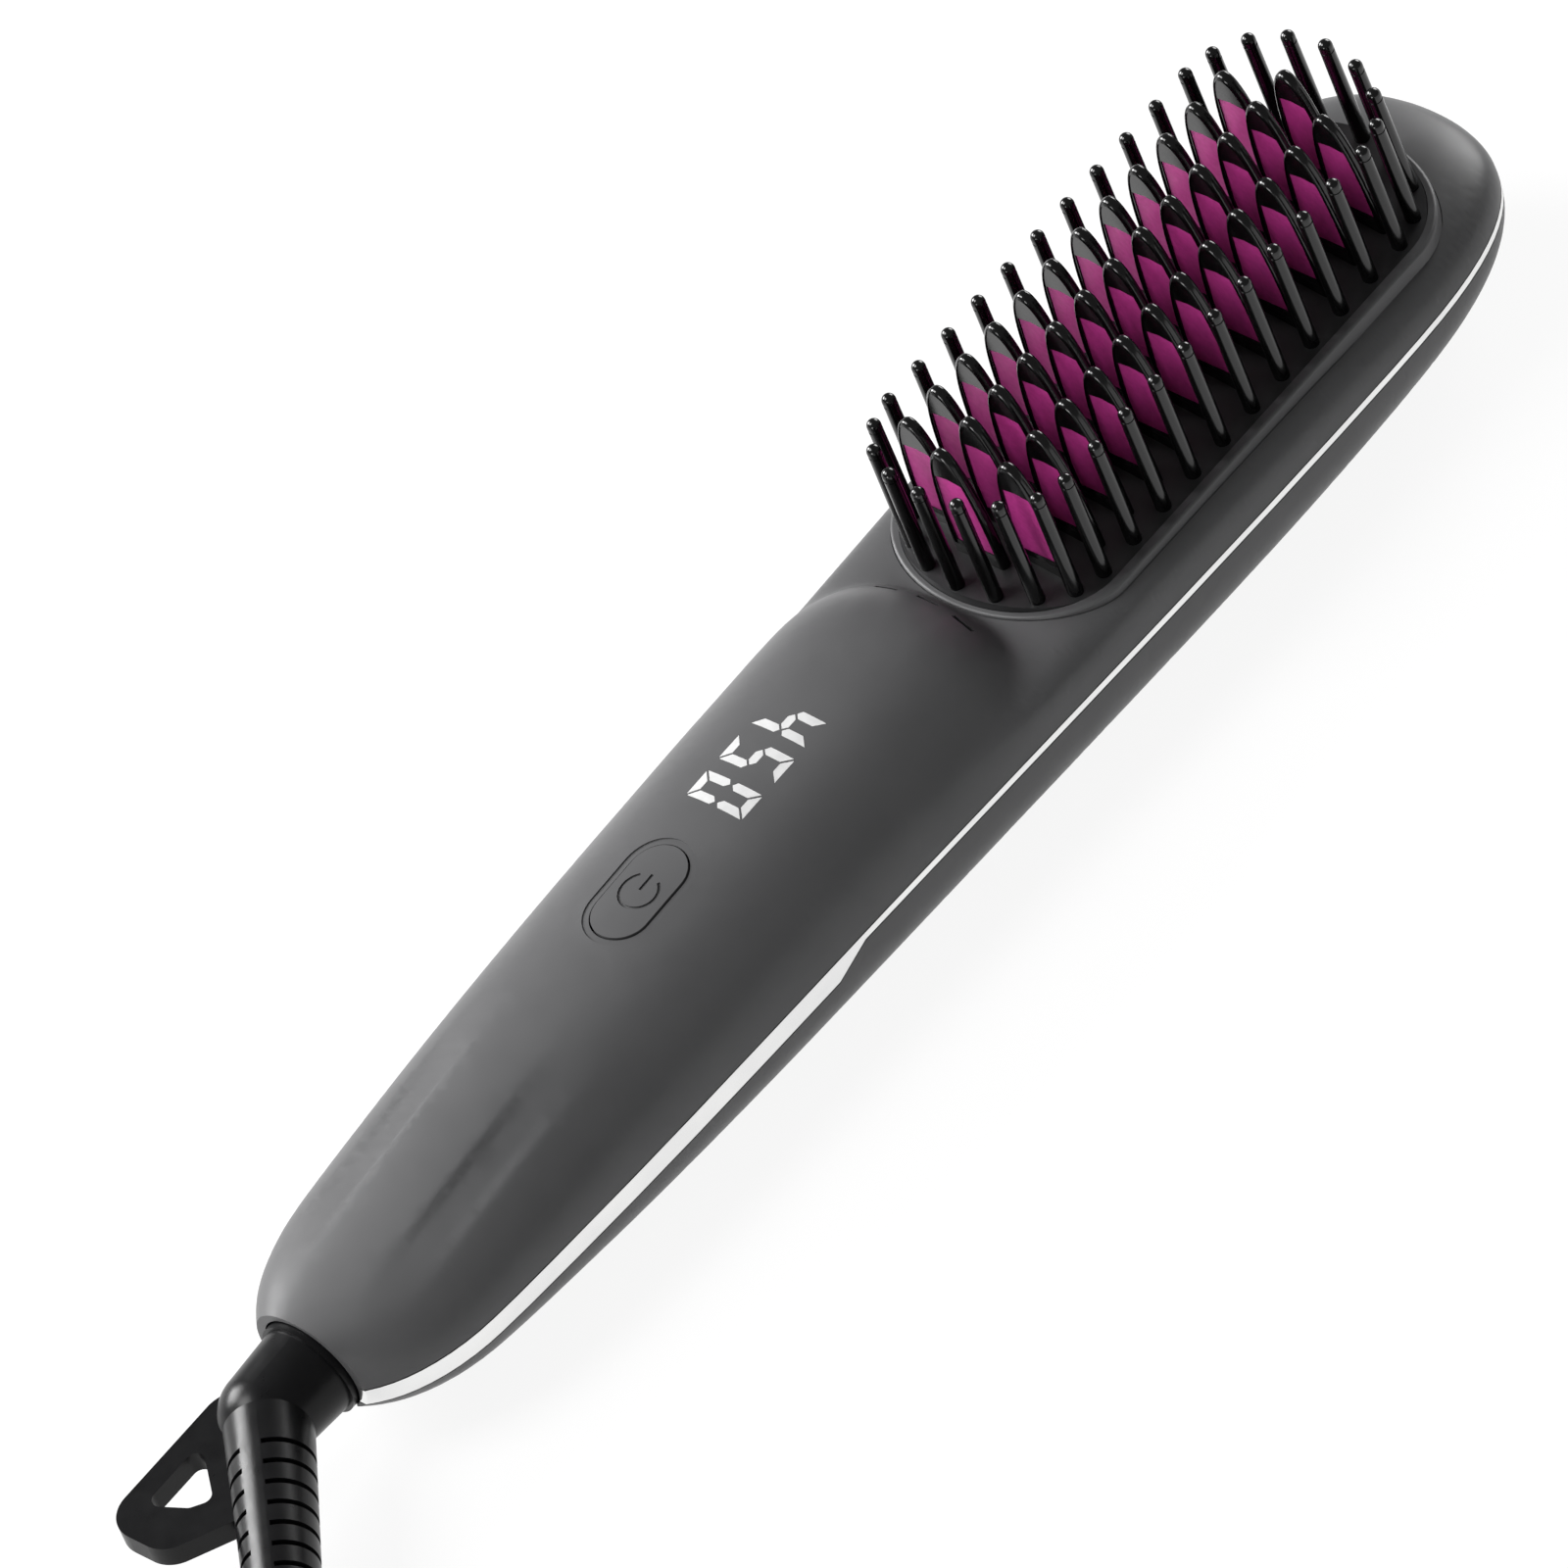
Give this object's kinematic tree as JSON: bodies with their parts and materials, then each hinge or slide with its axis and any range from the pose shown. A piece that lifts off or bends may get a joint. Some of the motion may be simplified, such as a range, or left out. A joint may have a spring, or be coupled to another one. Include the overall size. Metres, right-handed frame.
{
  "type": "hair_straightening_brush",
  "caption": "corded hair straightening brush with a dark grey handle, chrome seam band, magenta heated teeth under black hoods, guard pins and a swivelling cord elbow",
  "frame": {"origin": "on the flat of the back, under the middle of the housing", "axes": "+X from the cord end to the head's tip, +Z the way the bristles point, +Y completes the set"},
  "size_m": [0.4308, 0.0946, 0.0512],
  "materials": {
    "soft_touch": "soft-touch satin",
    "chrome": "bright plated",
    "gloss_black": "moulded gloss",
    "magenta_coat": "satin ceramic coating",
    "ceramic": "fired matte",
    "sheet_steel": "as rolled",
    "black_plastic": "moulded satin",
    "screw_steel": "zinc plated",
    "circuit_board": "solder mask",
    "lit_segment": "lit diffuser",
    "brass": "polished",
    "cord_rubber": "satin moulded",
    "tie_plastic": "satin"
  },
  "bodies": {
    "housing": {"front_shell": "soft_touch", "back_shell": "soft_touch", "trim_band": "chrome", "bezel_ring": "soft_touch", "bristle_plate": "gloss_black", "guard_pins": "gloss_black", "tooth_hoods": "gloss_black", "heating_comb": "magenta_coat", "ceramic_heaters": "ceramic", "heater_clamp": "sheet_steel", "heater_tray": "black_plastic", "heater_screws": "screw_steel", "thermal_fuse": "sheet_steel", "thermistor": "ceramic", "ion_generator": "black_plastic", "ion_emitters": "sheet_steel", "control_board": "circuit_board", "display_module": "black_plastic", "display_segments": "lit_segment", "tact_switch": "black_plastic", "case_screws": "screw_steel", "contact_springs": "brass"},
    "button": {"power_button": "soft_touch", "switch_plunger": "black_plastic"},
    "swivel": {"swivel_hub": "black_plastic", "swivel_clip": "sheet_steel", "slip_rings": "brass", "cord_elbow": "cord_rubber", "cord_lead": "cord_rubber", "cord_coil": "cord_rubber", "cord_tie": "tie_plastic", "plug_body": "cord_rubber", "plug_blades": "brass"}
  },
  "joints": [
    {"name": "power_press", "type": "slide", "parent": "housing", "child": "button", "axis": [0, 0, -1], "range_m": [0, 0.0006], "stiffness_N_per_m": 2500},
    {"name": "cord_swivel", "type": "hinge", "parent": "housing", "child": "swivel", "pos_m": [-0.13665, 0, 0.016], "axis": [1, 0, 0], "continuous": true}
  ]
}
